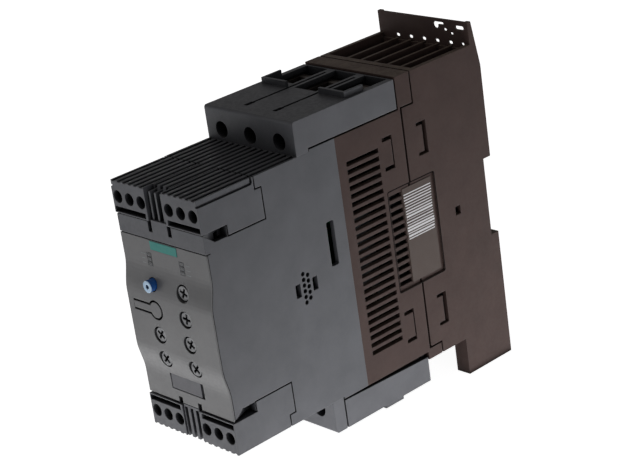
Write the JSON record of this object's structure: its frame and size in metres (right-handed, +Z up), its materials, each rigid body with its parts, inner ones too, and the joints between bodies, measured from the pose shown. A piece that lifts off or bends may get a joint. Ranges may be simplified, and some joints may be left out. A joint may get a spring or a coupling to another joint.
{
  "type": "motor soft starter",
  "caption": "Rail-mounted motor soft starter: ribbed grey control front with dials, button and plug-in terminals, power terminal covers, vented brown housing round a heat sink.",
  "frame": {"origin": "on the back plane, at the middle of the rail notch", "axes": "+X to the right seen from the front, +Y to the back towards the panel, +Z up"},
  "size_m": [0.055, 0.17, 0.16],
  "materials": {
    "grey_plastic": "fine-grained moulded anthracite grey",
    "panel_plastic": "smooth moulded anthracite grey",
    "brown_plastic": "fine-grained moulded dark brown",
    "black_plastic": "plain black moulding",
    "steel": "zinc-plated",
    "brass": "tin-brass strip",
    "clamp_metal": "plated strip",
    "copper": "bare copper",
    "aluminium": "extruded",
    "board": "green circuit board",
    "blue_plastic": "gloss blue moulding",
    "dial_plastic": "moulded grey",
    "light_guide": "smoked clear moulding",
    "plate_print": "teal printed field",
    "label": "printed film"
  },
  "bodies": {
    "housing": {"front_housing": "grey_plastic", "upper_power_cover": "grey_plastic", "lower_power_cover": "grey_plastic", "upper_left_terminal": "grey_plastic", "upper_right_terminal": "grey_plastic", "lower_left_terminal": "grey_plastic", "lower_right_terminal": "grey_plastic", "front_panel": "panel_plastic", "rear_housing": "brown_plastic", "middle_housing": "brown_plastic", "control_screws": "steel", "power_screws": "steel", "reset_spring": "steel", "rail_spring": "steel", "control_clamps": "brass", "power_clamp_1": "clamp_metal", "power_clamp_2": "clamp_metal", "power_clamp_3": "clamp_metal", "power_clamp_4": "clamp_metal", "power_clamp_5": "clamp_metal", "power_clamp_6": "clamp_metal", "line_busbar_1": "copper", "load_busbar_1": "copper", "through_busbar": "copper", "line_busbar_3": "copper", "load_busbar_3": "copper", "thyristor_module_1": "black_plastic", "thyristor_module_2": "black_plastic", "bypass_relay": "black_plastic", "current_transformer_1": "black_plastic", "current_transformer_2": "black_plastic", "supply_module": "black_plastic", "reset_switch": "black_plastic", "mode_switch": "black_plastic", "heat_sink": "aluminium", "power_board": "board", "interface_board": "board", "control_board": "board", "trimmer_1": "blue_plastic", "trimmer_2": "blue_plastic", "trimmer_3": "blue_plastic", "trimmer_4": "blue_plastic", "trimmer_5": "blue_plastic", "trimmer_6": "blue_plastic", "light_guide_left": "light_guide", "light_guide_right": "light_guide", "name_plate": "plate_print", "label_insert": "label", "data_label": "label"},
    "reset_button": {"reset_button": "blue_plastic"},
    "mode_tongue": {"mode_tongue": "panel_plastic"},
    "rail_slider": {"rail_slider": "black_plastic"},
    "setting_dial_1": {"setting_dial_1": "dial_plastic"},
    "setting_dial_2": {"setting_dial_2": "dial_plastic"},
    "setting_dial_3": {"setting_dial_3": "dial_plastic"},
    "setting_dial_4": {"setting_dial_4": "dial_plastic"},
    "setting_dial_5": {"setting_dial_5": "dial_plastic"},
    "setting_dial_6": {"setting_dial_6": "dial_plastic"}
  },
  "joints": [
    {"name": "reset_press", "type": "slide", "parent": "housing", "child": "reset_button", "axis": [0, 1, 0], "range_m": [0, 0.002], "stiffness_N_per_m": 500, "springref_m": -0.002, "deforming": ["reset_spring"]},
    {"name": "mode_press", "type": "hinge", "parent": "housing", "child": "mode_tongue", "pos_m": [-0.0238, -0.16705, 0.0018], "axis": [0, 0, 1], "range_deg": [0, 4], "stiffness_Nm_per_rad": 0.3, "springref_deg": -1.15},
    {"name": "rail_release", "type": "slide", "parent": "housing", "child": "rail_slider", "axis": [0, 0, -1], "range_m": [0, 0.003], "stiffness_N_per_m": 800, "springref_m": -0.004, "deforming": ["rail_spring"]},
    {"name": "dial_1_turn", "type": "hinge", "parent": "housing", "child": "setting_dial_1", "pos_m": [0.0096, -0.165, 0.0131], "axis": [0, 1, 0], "range_deg": [-135, 135]},
    {"name": "dial_2_turn", "type": "hinge", "parent": "housing", "child": "setting_dial_2", "pos_m": [0.0096, -0.165, 0.0018], "axis": [0, 1, 0], "range_deg": [-135, 135]},
    {"name": "dial_3_turn", "type": "hinge", "parent": "housing", "child": "setting_dial_3", "pos_m": [0.0096, -0.165, -0.0095], "axis": [0, 1, 0], "range_deg": [-135, 135]},
    {"name": "dial_4_turn", "type": "hinge", "parent": "housing", "child": "setting_dial_4", "pos_m": [0.0096, -0.165, -0.0208], "axis": [0, 1, 0], "range_deg": [-135, 135]},
    {"name": "dial_5_turn", "type": "hinge", "parent": "housing", "child": "setting_dial_5", "pos_m": [-0.0096, -0.165, -0.0095], "axis": [0, 1, 0], "range_deg": [-135, 135]},
    {"name": "dial_6_turn", "type": "hinge", "parent": "housing", "child": "setting_dial_6", "pos_m": [-0.0096, -0.165, -0.0208], "axis": [0, 1, 0], "range_deg": [-135, 135]}
  ]
}
